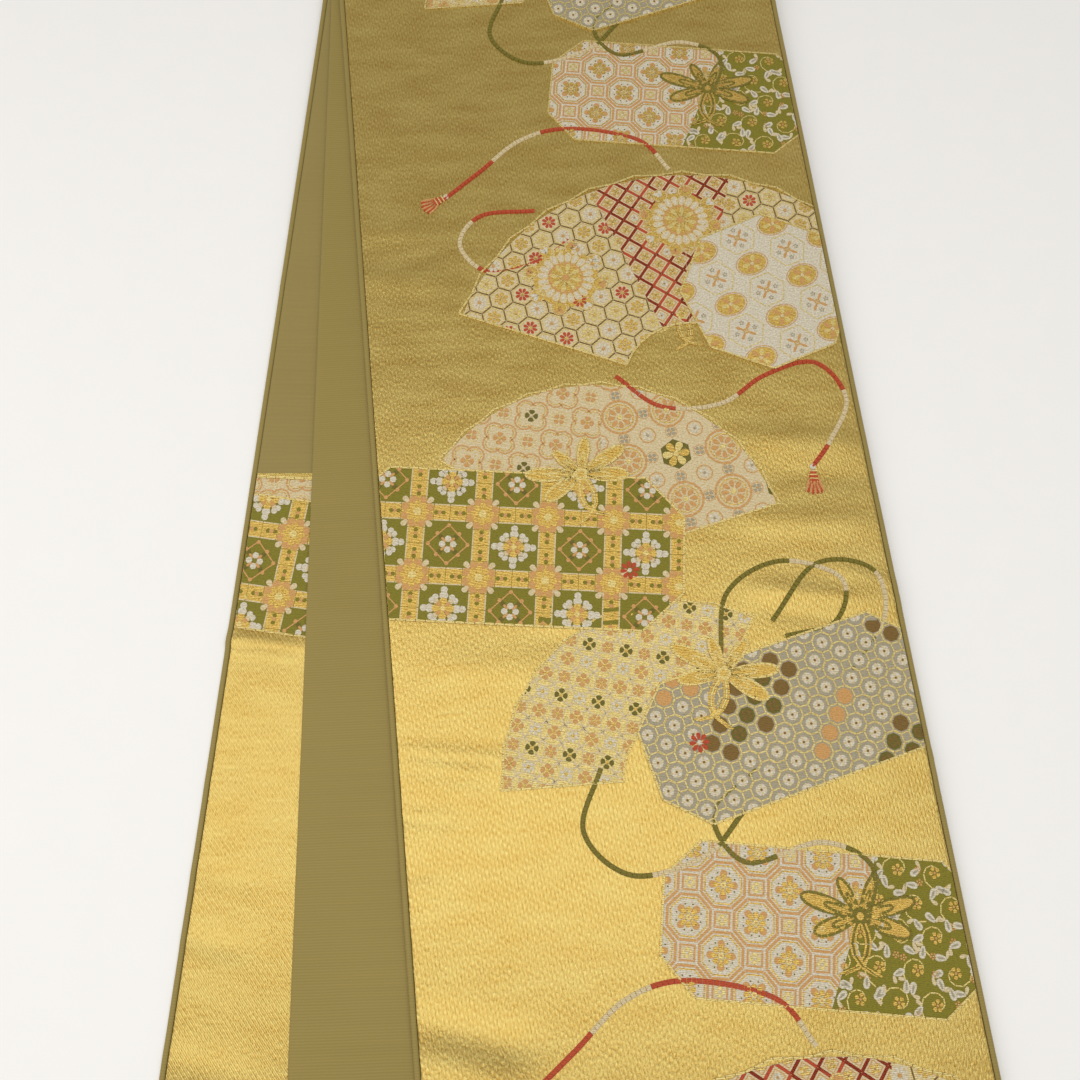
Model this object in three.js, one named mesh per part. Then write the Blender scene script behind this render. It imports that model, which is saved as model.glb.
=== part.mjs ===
import * as THREE from 'three';

// A formal double-faced sash, laid down folded into four stretches. The top stretch shows its woven
// face, the middle one its lining and the lower one its face again, and each lies a little more
// askew than the one above it. The hidden stretch lies straight under the top one, on the ground.
// Millimetres. +Y runs along the top stretch to its far fold, +X is across it and +Z is up.

const CLOTH_WIDTH = 310;
const WALL = 1.0;
const SEAM_GAP = 0.3;
const PLY = WALL + SEAM_GAP + WALL;
const PITCH = 3.0;
const LINING_BORDER = 3.0;

const MIDDLE_ASKEW = THREE.MathUtils.degToRad(5.03);
const LOWER_ASKEW = THREE.MathUtils.degToRad(10.1);
const STRAIGHT_LENGTH = 1120;
const LOWER_FOLD_BEYOND = 4;

const DROOP_START = 12;
const DROOP_END = 90;
const FOLD_SWELL = 3.0;
const SWELL_START = 110;
const SWELL_FULL = 10;

const COLUMNS = 14;
const TURN_STEPS = 3;
const FAR_ROWS = [0, 30, 65, 105, 150];
const PLAIN_ROW_STEP = 121;

// One row for each stretch: the heading of its length, where its far left corner lies along Y, the
// slope of its far fold against its own width, its length down its left edge, which way its woven
// face looks, whether its near end turns into the next stretch, and the ridges across it.
const UNDER = {
  heading: 0,
  farY: LOWER_FOLD_BEYOND,
  foldSlope: -Math.tan(LOWER_ASKEW / 2),
  length: STRAIGHT_LENGTH + LOWER_FOLD_BEYOND,
  faceUp: false,
  turnsNear: true,
  ridges: [],
};
const LOWER = {
  heading: LOWER_ASKEW,
  farY: LOWER_FOLD_BEYOND,
  foldSlope: Math.tan(LOWER_ASKEW / 2),
  length: 1040,
  faceUp: true,
  turnsNear: false,
  ridges: [{ at: 545, height: 2.4, reach: 62, farSpread: 14, nearSpread: 5 }],
};
const MIDDLE = {
  heading: MIDDLE_ASKEW,
  farY: 0,
  foldSlope: Math.tan(MIDDLE_ASKEW / 2),
  length: 1060,
  faceUp: false,
  turnsNear: false,
  ridges: [],
};
const TOP = {
  heading: 0,
  farY: 0,
  foldSlope: -Math.tan(MIDDLE_ASKEW / 2),
  length: STRAIGHT_LENGTH,
  faceUp: true,
  turnsNear: true,
  ridges: [],
};
const STACK = [UNDER, LOWER, MIDDLE, TOP];

const FINISHES = {
  brocade: { color: 0xcdb264, roughness: 0.42, metalness: 0.55 },
  lining: { color: 0x9a894e, roughness: 0.7, metalness: 0.0 },
};

const smooth = (value) => THREE.MathUtils.smoothstep(value, 0, 1);

// Where a point of a stretch lies on the ground, from its place across and along that stretch.
function groundPoint(stretch, across, along) {
  const right = new THREE.Vector2(Math.cos(stretch.heading), -Math.sin(stretch.heading));
  const far = new THREE.Vector2(Math.sin(stretch.heading), Math.cos(stretch.heading));
  return new THREE.Vector2(0, stretch.farY)
    .addScaledVector(right, across)
    .addScaledVector(far, along);
}

function placeOnStretch(stretch, ground) {
  const fromCorner = ground.clone().sub(new THREE.Vector2(0, stretch.farY));
  const sine = Math.sin(stretch.heading);
  const cosine = Math.cos(stretch.heading);
  return {
    across: fromCorner.x * cosine - fromCorner.y * sine,
    along: fromCorner.x * sine + fromCorner.y * cosine,
  };
}

// How far a stretch lifts what lies on it: one pitch over itself, and less beyond its long edges.
function coverAt(stretch, ground) {
  const { across } = placeOnStretch(stretch, ground);
  const outside = Math.max(-across, across - CLOTH_WIDTH);
  return PITCH * (1 - smooth((outside - DROOP_START) / (DROOP_END - DROOP_START)));
}

// The cloth swells a little where it turns back on itself at a far fold.
function swellAt(stretch, ground) {
  const { across, along } = placeOnStretch(stretch, ground);
  const fromFold = stretch.foldSlope * across - along;
  return FOLD_SWELL * (1 - smooth((fromFold - SWELL_FULL) / (SWELL_START - SWELL_FULL)));
}

function ridgeAt(stretch, ground) {
  const { across, along } = placeOnStretch(stretch, ground);
  return stretch.ridges.reduce((sum, ridge) => {
    const fromCrest = along + ridge.at;
    const spread = fromCrest > 0 ? ridge.farSpread : ridge.nearSpread;
    const profile = Math.max(0, 1 - Math.abs(fromCrest) / spread);
    const fade = Math.max(0, 1 - across / ridge.reach);
    return sum + ridge.height * profile * fade;
  }, 0);
}

function undersideAt(stretch, ground) {
  const below = STACK.slice(0, STACK.indexOf(stretch));
  const lift = below.reduce((sum, lower) => sum + coverAt(lower, ground), 0);
  const lowerSwell = stretch === UNDER ? 0 : swellAt(LOWER, ground);
  const upperSwell = stretch === TOP ? swellAt(TOP, ground) : 0;
  return lift + lowerSwell + upperSwell + ridgeAt(stretch, ground);
}

// The rows of a stretch, as distances from its far fold, closer together where it swells or rises.
function rowDistances(stretch) {
  const ridgeRows = stretch.ridges.flatMap((ridge) => [
    ridge.at - ridge.farSpread,
    ridge.at,
    ridge.at + ridge.nearSpread,
  ]);
  const plainStart = FAR_ROWS.at(-1);
  const plainCount = Math.round((stretch.length - plainStart) / PLAIN_ROW_STEP);
  const plainRows = Array.from({ length: plainCount }, (unused, index) => {
    return plainStart + ((stretch.length - plainStart) * (index + 1)) / plainCount;
  });
  const isClear = (row) => ridgeRows.every((ridgeRow) => Math.abs(ridgeRow - row) > 12);
  return [...FAR_ROWS, ...plainRows]
    .filter((row) => isClear(row) || row === stretch.length)
    .concat(ridgeRows)
    .sort((a, b) => a - b);
}

// A point of a flat row. Depth is measured in from the outer skin of the woven face.
function flatPoint(stretch, across, distance, depth) {
  const nearness = distance / stretch.length;
  const along = (1 - nearness) * stretch.foldSlope * across - distance;
  const ground = groundPoint(stretch, across, along);
  const rise = stretch.faceUp ? PLY - depth : depth;
  return new THREE.Vector3(ground.x, ground.y, undersideAt(stretch, ground) + rise);
}

// A point of the half turn that joins a stretch to its partner: a quarter circle from this stretch
// to the tip of the fold. The share runs from 0 at the stretch to 1 at the tip.
function turnPoint(stretch, partner, fold, across, share, depth) {
  const distance = fold === 'far' ? 0 : stretch.length;
  const skin = flatPoint(stretch, across, distance, 0);
  const ground = new THREE.Vector2(skin.x, skin.y);
  const partnerSkin = undersideAt(partner, ground) + (partner.faceUp ? PLY : 0);
  const outerRadius = Math.abs(skin.z - partnerSkin) / 2;
  const trim = SEAM_GAP / 2 / (outerRadius - PLY);
  const angle = share * (Math.PI / 2 - trim);
  const foldHeading = stretch.heading - Math.atan(stretch.foldSlope);
  const outward = fold === 'far'
    ? new THREE.Vector3(Math.sin(foldHeading), Math.cos(foldHeading), 0)
    : new THREE.Vector3(0, -1, 0);
  const radius = outerRadius - depth;
  return new THREE.Vector3(skin.x, skin.y, (skin.z + partnerSkin) / 2)
    .addScaledVector(outward, radius * Math.sin(angle))
    .add(new THREE.Vector3(0, 0, Math.sign(skin.z - partnerSkin) * radius * Math.cos(angle)));
}

function clothRows(stretch, farPartner, nearPartner) {
  const steps = Array.from({ length: TURN_STEPS }, (unused, index) => (index + 1) / TURN_STEPS);
  const farTurn = steps.toReversed().map((share) => (across, depth) => {
    return turnPoint(stretch, farPartner, 'far', across, share, depth);
  });
  const flat = rowDistances(stretch).map((distance) => (across, depth) => {
    return flatPoint(stretch, across, distance, depth);
  });
  const nearTurn = !stretch.turnsNear ? [] : steps.map((share) => (across, depth) => {
    return turnPoint(stretch, nearPartner, 'near', across, share, depth);
  });
  return [...farTurn, ...flat, ...nearTurn];
}

// A closed wall between two depths of the cloth, through every row and column of a stretch.
function clothWall(rows, outerDepth, innerDepth, border, faceUp) {
  const positions = [];
  const triangles = [];
  const width = CLOTH_WIDTH - 2 * border;
  const layerSize = rows.length * (COLUMNS + 1);
  for (const depth of [outerDepth, innerDepth]) {
    for (const row of rows) {
      for (let column = 0; column <= COLUMNS; column += 1) {
        positions.push(...row(border + (width * column) / COLUMNS, depth).toArray());
      }
    }
  }
  const corner = (row, column, layer) => layer * layerSize + row * (COLUMNS + 1) + column;
  const addQuad = (a, b, c, d) => {
    const turned = faceUp ? [a, b, c, a, c, d] : [a, c, b, a, d, c];
    triangles.push(...turned);
  };
  const last = rows.length - 1;
  for (let row = 0; row < last; row += 1) {
    for (let column = 0; column < COLUMNS; column += 1) {
      addQuad(
        corner(row, column, 0),
        corner(row + 1, column, 0),
        corner(row + 1, column + 1, 0),
        corner(row, column + 1, 0),
      );
      addQuad(
        corner(row, column, 1),
        corner(row, column + 1, 1),
        corner(row + 1, column + 1, 1),
        corner(row + 1, column, 1),
      );
    }
    addQuad(corner(row, 0, 0), corner(row, 0, 1), corner(row + 1, 0, 1), corner(row + 1, 0, 0));
    addQuad(
      corner(row, COLUMNS, 0),
      corner(row + 1, COLUMNS, 0),
      corner(row + 1, COLUMNS, 1),
      corner(row, COLUMNS, 1),
    );
  }
  for (let column = 0; column < COLUMNS; column += 1) {
    addQuad(corner(0, column, 0), corner(0, column + 1, 0), corner(0, column + 1, 1), corner(0, column, 1));
    addQuad(
      corner(last, column, 0),
      corner(last, column, 1),
      corner(last, column + 1, 1),
      corner(last, column + 1, 0),
    );
  }
  const geometry = new THREE.BufferGeometry();
  geometry.setAttribute('position', new THREE.Float32BufferAttribute(positions, 3));
  geometry.setIndex(triangles);
  geometry.computeVertexNormals();
  return geometry;
}

function addCloth(group, name, finish, stretch, rows, outerDepth, innerDepth, border) {
  const geometry = clothWall(rows, outerDepth, innerDepth, border, stretch.faceUp);
  const mesh = new THREE.Mesh(geometry, new THREE.MeshStandardMaterial(FINISHES[finish]));
  mesh.name = name;
  group.add(mesh);
}

// Each stretch that shows is a woven face and a lining, a seam apart. The lining comes round the
// long edges, so the face stops a border short of them.
function addStretch(group, name, stretch, farPartner, nearPartner) {
  const rows = clothRows(stretch, farPartner, nearPartner);
  addCloth(group, `${name}_face`, 'brocade', stretch, rows, 0, WALL, LINING_BORDER);
  addCloth(group, `${name}_lining`, 'lining', stretch, rows, WALL + SEAM_GAP, PLY, 0);
}

const group = new THREE.Group();
addStretch(group, 'top', TOP, MIDDLE, UNDER);
addStretch(group, 'middle', MIDDLE, TOP, null);
addStretch(group, 'lower', LOWER, UNDER, null);
addCloth(group, 'hidden_layers', 'brocade', UNDER, clothRows(UNDER, LOWER, TOP), 0, PLY, 0);

const box = new THREE.Box3().setFromObject(group);
const middle = box.getCenter(new THREE.Vector3());
group.position.set(-middle.x, -middle.y, -box.min.z);

export default group;
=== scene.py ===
import math
import random
from dataclasses import dataclass

import bpy
import numpy as np
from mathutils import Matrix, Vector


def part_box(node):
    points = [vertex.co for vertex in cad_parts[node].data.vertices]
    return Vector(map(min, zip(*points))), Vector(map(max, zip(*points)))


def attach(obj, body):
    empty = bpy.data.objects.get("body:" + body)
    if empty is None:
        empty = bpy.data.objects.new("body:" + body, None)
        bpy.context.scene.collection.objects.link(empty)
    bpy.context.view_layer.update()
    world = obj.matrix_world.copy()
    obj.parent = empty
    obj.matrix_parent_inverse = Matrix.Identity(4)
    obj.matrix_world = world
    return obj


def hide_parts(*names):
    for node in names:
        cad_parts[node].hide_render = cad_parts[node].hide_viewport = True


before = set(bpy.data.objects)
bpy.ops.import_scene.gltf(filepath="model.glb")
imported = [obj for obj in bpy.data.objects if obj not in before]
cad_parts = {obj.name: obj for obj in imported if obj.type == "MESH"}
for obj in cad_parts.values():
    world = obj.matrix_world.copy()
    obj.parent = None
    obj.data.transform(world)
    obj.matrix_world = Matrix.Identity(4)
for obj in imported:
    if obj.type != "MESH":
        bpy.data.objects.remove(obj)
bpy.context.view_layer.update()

# A formal double-faced sash, laid down folded into four stretches. Sizes are in millimetres, and
# meshes are made in metres. "Across" runs over the width of the cloth, "along" up its length.

MM = 0.001

CLOTH_WIDTH = 310.0
SOLID_PLY = 2.3
PITCH = 3.0
MIDDLE_ASKEW = math.radians(5.03)
LOWER_ASKEW = math.radians(10.1)
STRAIGHT_LENGTH = 1120.0
LOWER_FOLD_BEYOND = 4.0
DROOP_START = 12.0
DROOP_END = 90.0
FOLD_SWELL = 3.0
SWELL_START = 110.0
SWELL_FULL = 10.0

FACE_THICKNESS = 0.8
LINING_THICKNESS = 0.6
PLY = 1.9
LINING_BORDER = 3.2
TURN_STEPS = 10
FAR_TURN_ARC = 12.0
NEAR_TURN_ARC = 16.0

DESIGN_REPEAT = 547.0
PATTERN_START = -437.0


def smooth(value):
    value = np.clip(value, 0.0, 1.0)
    return value * value * (3.0 - 2.0 * value)


# ---------------------------------------------------------------- the lie of the cloth


@dataclass
class Crease:
    """A ridge, or a trough where its height is less than nothing, from one end to the other."""

    start: tuple
    end: tuple
    width: float
    height: float

    def rise(self, across, along):
        run = np.subtract(self.end, self.start)
        length = float(np.hypot(*run))
        unit = run / length
        step_across = across - self.start[0]
        step_along = along - self.start[1]
        share = (step_across * unit[0] + step_along * unit[1]) / length
        aside = step_along * unit[0] - step_across * unit[1]
        taper = smooth(share / 0.3) * smooth((1.0 - share) / 0.3)
        return self.height * taper * np.exp(-((aside / self.width) ** 2))


@dataclass
class Stretch:
    """One straight run of the sash between two folds, or between a fold and its cut end."""

    name: str
    heading: float
    far_y: float
    fold_slope: float
    length: float
    face_up: bool
    below: tuple = ()
    creases: tuple = ()
    ruffle: float = 0.0

    def ground(self, across, along):
        sine, cosine = math.sin(self.heading), math.cos(self.heading)
        return across * cosine + along * sine, self.far_y - across * sine + along * cosine

    def place(self, x, y):
        sine, cosine = math.sin(self.heading), math.cos(self.heading)
        return x * cosine - (y - self.far_y) * sine, x * sine + (y - self.far_y) * cosine

    def cover(self, x, y):
        across = self.place(x, y)[0]
        outside = np.maximum(-across, across - CLOTH_WIDTH)
        return PITCH * (1.0 - smooth((outside - DROOP_START) / (DROOP_END - DROOP_START)))

    def swell(self, x, y):
        across, along = self.place(x, y)
        from_fold = self.fold_slope * across - along
        return FOLD_SWELL * (1.0 - smooth((from_fold - SWELL_FULL) / (SWELL_START - SWELL_FULL)))

    def relief(self, across, along):
        total = sum(crease.rise(across, along) for crease in self.creases)
        waves = (
            np.sin(along / 23.0 + 1.9 * np.sin(across / 71.0) + 0.6)
            + 0.8 * np.sin(along / 37.0 - across / 120.0 + 1.3 * np.sin(along / 91.0))
            + 0.5 * np.sin(along / 11.0 + across / 46.0 + 2.0 * np.sin(along / 140.0))
        )
        return total + self.ruffle * waves

    def underside(self, x, y):
        lift = sum(lower.cover(x, y) for lower in self.below)
        lift = lift + (LOWER.swell(x, y) if self.below else 0.0)
        lift = lift + (self.swell(x, y) if self is TOP else 0.0)
        return np.maximum(lift + self.relief(*self.place(x, y)), 0.0)

    def skin(self, across, along):
        """The outer skin of the woven face: its place on the ground and its height."""
        x, y = self.ground(across, along)
        return x, y, self.underside(x, y) + (PLY if self.face_up else 0.0)


UNDER = Stretch(
    "under", 0.0, LOWER_FOLD_BEYOND, -math.tan(LOWER_ASKEW / 2),
    STRAIGHT_LENGTH + LOWER_FOLD_BEYOND, False,
)
LOWER = Stretch(
    "lower", LOWER_ASKEW, LOWER_FOLD_BEYOND, math.tan(LOWER_ASKEW / 2), 1040.0, True, (UNDER,),
    (
        Crease((-30, -541), (66, -546), 5.5, 1.9),
        Crease((-30, -547), (62, -553), 4.0, -0.5),
        Crease((-20, -673), (52, -680), 7.0, 0.5),
        Crease((-12, -709), (48, -716), 6.0, 0.6),
        Crease((-16, -770), (60, -781), 9.0, 0.7),
        Crease((-10, -628), (34, -622), 6.0, 0.4),
        Crease((-10, -300), (40, -306), 9.0, 0.5),
    ),
    0.05,
)
MIDDLE = Stretch(
    "middle", MIDDLE_ASKEW, 0.0, math.tan(MIDDLE_ASKEW / 2), 1060.0, False, (UNDER, LOWER),
    (
        Crease((-14, -519), (72, -529), 2.6, 0.9),
        Crease((-10, -524), (70, -536), 2.4, -0.4),
        Crease((-12, -637), (76, -645), 3.4, 0.6),
        Crease((-12, -755), (80, -760), 3.6, 0.55),
        Crease((-8, -410), (52, -418), 7.0, 0.4),
    ),
    0.05,
)
TOP = Stretch(
    "top", 0.0, 0.0, -math.tan(MIDDLE_ASKEW / 2), STRAIGHT_LENGTH, True,
    (UNDER, LOWER, MIDDLE),
    (
        Crease((-8, -606), (84, -624), 5.0, 0.9),
        Crease((-6, -614), (66, -631), 5.5, -0.6),
        Crease((-12, -642), (44, -652), 4.5, 0.8),
        Crease((-12, -675), (32, -676), 4.0, 0.6),
        Crease((-8, -748), (78, -776), 10.0, 1.2),
        Crease((-6, -764), (66, -794), 9.0, -0.7),
        Crease((206, -532), (318, -556), 7.0, 1.1),
        Crease((214, -545), (300, -566), 7.0, -0.7),
        Crease((266, -524), (322, -547), 4.0, 0.8),
        Crease((276, -536), (322, -556), 3.4, 0.6),
        Crease((78, -532), (190, -553), 8.0, 0.8),
        Crease((70, -548), (200, -566), 8.0, -0.5),
        Crease((272, -636), (320, -646), 3.6, 0.7),
        Crease((262, -660), (322, -652), 5.0, 0.5),
        Crease((-10, -262), (54, -272), 8.0, 0.6),
        Crease((-10, -300), (60, -308), 9.0, 0.6),
        Crease((216, -436), (322, -452), 9.0, 0.8),
        Crease((226, -462), (322, -474), 8.0, -0.6),
        Crease((208, -490), (318, -504), 9.0, 0.8),
        Crease((20, -560), (110, -574), 10.0, 0.5),
        Crease((-10, -905), (120, -925), 9.0, 0.8),
        Crease((190, -960), (322, -948), 8.0, 0.8),
        Crease((60, -1030), (240, -1046), 12.0, 0.8),
    ),
    0.085,
)

corner_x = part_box("hidden_layers")[0][0] / MM
corner_y = (
    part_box("middle_lining")[0][1] / MM
    + MIDDLE.length * math.cos(MIDDLE_ASKEW)
    + CLOTH_WIDTH * math.sin(MIDDLE_ASKEW)
)


def to_frame(x, y, z):
    """Places measured from the far left corner of the top stretch, as metres in the row frame."""
    return np.stack([x + corner_x, y + corner_y, z], axis=-1) * MM


@dataclass
class Fold:
    """Half a turn of the cloth between two stretches, around a line across both."""

    stretch: Stretch
    partner: Stretch
    far: bool

    def line(self, across):
        if self.far:
            return self.stretch.fold_slope * across
        return across * 0.0 - self.stretch.length

    def outward(self):
        heading = self.stretch.heading - math.atan(self.stretch.fold_slope)
        return (math.sin(heading), math.cos(heading)) if self.far else (0.0, -1.0)

    def point(self, across, angle, depth):
        """A point on the turn: angle runs from 0 at the stretch to pi at its partner."""
        x, y, skin = self.stretch.skin(across, self.line(across))
        other = self.partner.underside(x, y) + (PLY if self.partner.face_up else 0.0)
        radius = np.abs(skin - other) / 2
        reach = (radius - depth) * np.sin(angle)
        out_x, out_y = self.outward()
        rise = np.sign(skin - other) * (radius - depth) * np.cos(angle)
        return to_frame(x + out_x * reach, y + out_y * reach, (skin + other) / 2 + rise)

    def radius(self, across):
        x, y, skin = self.stretch.skin(across, self.line(across))
        other = self.partner.underside(x, y) + (PLY if self.partner.face_up else 0.0)
        return np.abs(skin - other) / 2


FAR_FOLD = Fold(TOP, MIDDLE, True)
NEAR_FOLD = Fold(TOP, UNDER, False)
LOW_FAR_FOLD = Fold(UNDER, LOWER, True)


def drape(stretch, across, along, rise):
    """Points over the face of a stretch, taken round its folds where they run past them."""
    across = np.asarray(across, float)
    along = np.asarray(along, float)
    x, y, z = stretch.skin(across, along)
    points = to_frame(x, y, z + rise)
    if stretch is not TOP:
        return points
    for fold, beyond in (
        (FAR_FOLD, along - FAR_FOLD.line(across)),
        (NEAR_FOLD, NEAR_FOLD.line(across) - along),
    ):
        past = beyond > 0
        if past.any():
            angle = np.minimum(beyond[past] / fold.radius(across[past]), math.pi)
            points[past] = fold.point(across[past], angle, -np.broadcast_to(rise, across.shape)[past])
    return points


# ---------------------------------------------------------------- shader arithmetic


class Wire:
    """An output in a material. Arithmetic on it adds Math nodes."""

    def __init__(self, finish, socket):
        self.finish = finish
        self.socket = socket

    def __add__(self, other):
        return self.finish.math("ADD", self, other)

    __radd__ = __add__

    def __sub__(self, other):
        return self.finish.math("SUBTRACT", self, other)

    def __rsub__(self, other):
        return self.finish.math("SUBTRACT", other, self)

    def __mul__(self, other):
        return self.finish.math("MULTIPLY", self, other)

    __rmul__ = __mul__

    def __truediv__(self, other):
        return self.finish.math("DIVIDE", self, other)


class Finish:
    """A material under construction, with one method that makes its nodes."""

    def __init__(self, name):
        self.material = bpy.data.materials.new(name)
        self.material.use_nodes = True
        self.tree = self.material.node_tree
        self.tree.nodes.clear()

    def node(self, kind, settings, sockets):
        made = self.tree.nodes.new(kind)
        for name, value in settings.items():
            setattr(made, name, value)
        for key, value in sockets.items():
            if isinstance(value, Wire):
                self.tree.links.new(value.socket, made.inputs[key])
            else:
                made.inputs[key].default_value = value
        return made

    def math(self, operation, *values):
        made = self.node("ShaderNodeMath", {"operation": operation}, dict(enumerate(values)))
        return Wire(self, made.outputs[0])

    def mix(self, share, first, second):
        made = self.node("ShaderNodeMix", {"data_type": "RGBA"}, {0: share, 6: first, 7: second})
        return Wire(self, made.outputs[2])

    def cloth(self):
        """The place on the cloth, across and along, in millimetres."""
        chart = self.node("ShaderNodeUVMap", {"uv_map": "cloth"}, {})
        parts = self.node("ShaderNodeSeparateXYZ", {}, {0: Wire(self, chart.outputs[0])})
        return Wire(self, parts.outputs[0]) * 1000.0, Wire(self, parts.outputs[1]) * 1000.0

    def noise(self, across, along, size_across, size_along, detail=2.0):
        """Uneven variation from 0 to 1 with features of the given size in millimetres."""
        place = self.node(
            "ShaderNodeCombineXYZ", {}, {0: across / size_across, 1: along / size_along}
        )
        made = self.node(
            "ShaderNodeTexNoise", {}, {0: Wire(self, place.outputs[0]), 2: 1.0, 3: detail}
        )
        return Wire(self, made.outputs[0])

    def wave(self, phase):
        return self.math("SINE", phase * (2 * math.pi)) * 0.5 + 0.5

    def surface(self, height, depth_mm, varying, fixed):
        """A Principled surface with woven relief, what varies over it and what doesn't."""
        bump = self.node(
            "ShaderNodeBump", {}, {"Strength": 1.0, "Distance": depth_mm * MM, "Height": height}
        )
        shader = self.node(
            "ShaderNodeBsdfPrincipled",
            {},
            {**fixed, **varying, "Normal": Wire(self, bump.outputs[0])},
        )
        self.node("ShaderNodeOutputMaterial", {}, {0: Wire(self, shader.outputs[0])})
        return self.material


def seen(red, green, blue):
    """A colour by its usual 0 to 255 screen values, in the linear values that shaders take."""
    parts = [value / 255 for value in (red, green, blue)]
    linear = [p / 12.92 if p <= 0.04045 else ((p + 0.055) / 1.055) ** 2.4 for p in parts]
    return (*linear, 1.0)


# ---------------------------------------------------------------- finishes of the cloth


def gold_twill(name, lane_width, dash_length, slant, stagger):
    """Gold-wrapped weft floats in lanes, each lane a step further along than the last."""
    finish = Finish(name)
    across, along = finish.cloth()
    sway = finish.noise(across, along, 90.0, 60.0) - 0.5
    lane = (across + along * slant + sway * 1.2) / lane_width
    crown = finish.math("ABSOLUTE", finish.math("SINE", lane * math.pi))
    step = finish.math("FLOOR", lane) * stagger
    dash = finish.wave(along / dash_length + step)
    fibre = finish.noise(across, along, 0.7, 2.2)
    thread = crown * (dash * 0.6 + 0.4)
    patch = finish.noise(across, along, 34.0, 11.0, 4.0)
    fleck = (finish.noise(across, along, 0.8, 2.2, 3.0) - 0.5) * 2.4 + 0.5
    light = thread * 0.3 + fibre * 0.2 + fleck * 0.6 + (patch - 0.5) * 0.6
    light = finish.math("MAXIMUM", finish.math("MINIMUM", light, 1.0), 0.0)
    colour = finish.mix(light, seen(168, 127, 46), seen(219, 200, 123))
    rough = 0.24 + patch * 0.16 + fleck * 0.10 - thread * 0.04
    return finish.surface(
        thread * 0.55 + fibre * 0.5 + fleck * 1.1,
        0.13,
        {"Base Color": colour, "Roughness": rough},
        {"Metallic": 0.86, "Specular IOR Level": 0.5},
    )


def plain_olive(name, line_pitch, colour, dark):
    """Plain silk with fine weft lines and slight streaks."""
    finish = Finish(name)
    across, along = finish.cloth()
    weft = finish.wave(along / line_pitch + finish.noise(across, along, 60.0, 40.0) * 0.8)
    streak = finish.noise(across, along, 120.0, 1.3, 3.0)
    cloud = finish.noise(across, along, 45.0, 45.0)
    grain = finish.noise(across, along, 0.8, 0.8, 1.0)
    tone = finish.mix(weft * 0.30 + streak * 0.35 + grain * 0.2 + cloud * 0.15, dark, colour)
    return finish.surface(
        weft + grain * 0.4 + streak * 0.5,
        0.05,
        {"Base Color": tone, "Roughness": 0.5 + streak * 0.16},
        {"Sheen Weight": 0.25, "Sheen Roughness": 0.4, "Specular IOR Level": 0.35},
    )


def silk_floss(name, light, dark, metallic=0.0, roughness=0.46):
    """Coloured figuring weft: short satin floats with flecks of the ground between them."""
    finish = Finish(name)
    across, along = finish.cloth()
    float_line = finish.wave(along / 0.95 + finish.noise(across, along, 5.0, 5.0) * 1.4)
    fleck = (finish.noise(across, along, 1.2, 0.9, 3.0) - 0.5) * 2.4 + 0.5
    tone = finish.math("MAXIMUM", float_line * 0.4 + fleck * 0.6 - 0.1, 0.0)
    tone = finish.mix(finish.math("MINIMUM", tone, 1.0), dark, light)
    return finish.surface(
        float_line + fleck * 0.8,
        0.09,
        {"Base Color": tone, "Roughness": roughness + fleck * 0.16},
        {"Metallic": metallic, "Specular IOR Level": 0.4, "Sheen Weight": 0.12},
    )


BROCADE = gold_twill("gold_twill", 2.1, 5.0, 0.10, 0.37)
FINE_TWILL = gold_twill("fine_gold_twill", 1.35, 60.0, 0.85, 0.5)
PLAIN_WEAVE = plain_olive("plain_face_weave", 0.9, seen(166, 149, 88), seen(134, 116, 58))
LINING = plain_olive("olive_lining", 1.5, seen(165, 146, 81), seen(136, 118, 55))

THREADS = {
    "cream": silk_floss("floss_cream", seen(244, 235, 206), seen(190, 162, 98)),
    "white": silk_floss("floss_white", seen(250, 247, 238), seen(180, 164, 122)),
    "copper": silk_floss("floss_copper", seen(232, 184, 120), seen(184, 134, 72), 0.25),
    "gold": silk_floss("gold_thread", seen(252, 224, 126), seen(164, 120, 40), 0.75, 0.3),
    "pale_gold": silk_floss("pale_gold_thread", seen(252, 240, 172), seen(186, 154, 70), 0.6, 0.3),
    "vermilion": silk_floss("floss_vermilion", seen(214, 88, 36), seen(160, 48, 18)),
    "olive": silk_floss("floss_olive", seen(142, 130, 30), seen(100, 90, 10)),
    "leaf": silk_floss("floss_leaf_green", seen(150, 140, 18), seen(108, 101, 6)),
    "bronze": silk_floss("floss_bronze", seen(150, 118, 56), seen(104, 78, 30), 0.3),
    "silver": silk_floss("floss_silver", seen(192, 184, 162), seen(146, 136, 108), 0.2),
    "deep_olive": silk_floss("floss_deep_olive", seen(128, 118, 24), seen(86, 78, 12)),
}


# ---------------------------------------------------------------- the cloth itself


def row_steps(end, fine_from, fine_to, fine, coarse):
    """Distances from nothing to the end, closer together between fine_from and fine_to."""
    stops = [0.0]
    while stops[-1] < end - 0.5 * coarse:
        at = stops[-1]
        stops.append(at + (fine if fine_from <= at < fine_to else coarse))
    stops[-1] = end
    return stops


def flat_row(stretch, distance):
    def at(across, depth):
        nearness = distance / stretch.length
        along = (1.0 - nearness) * stretch.fold_slope * across - distance
        x, y, skin = stretch.skin(across, along)
        return to_frame(x, y, skin - depth if stretch.face_up else skin + depth)

    return at


def turn_rows(fold, length, arc, weave, backwards=False):
    """The rows of one fold, whose cloth starts at a length along the sash and is one arc long."""
    def row_at(angle):
        return lambda across, depth: fold.point(across, across * 0.0 + angle, depth)

    turns = [row_at(math.pi * (step + 1) / TURN_STEPS) for step in range(TURN_STEPS - 1)]
    if backwards:
        turns.reverse()
    return [
        (row, length + arc * (index + 1) / TURN_STEPS, weave) for index, row in enumerate(turns)
    ]


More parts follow.
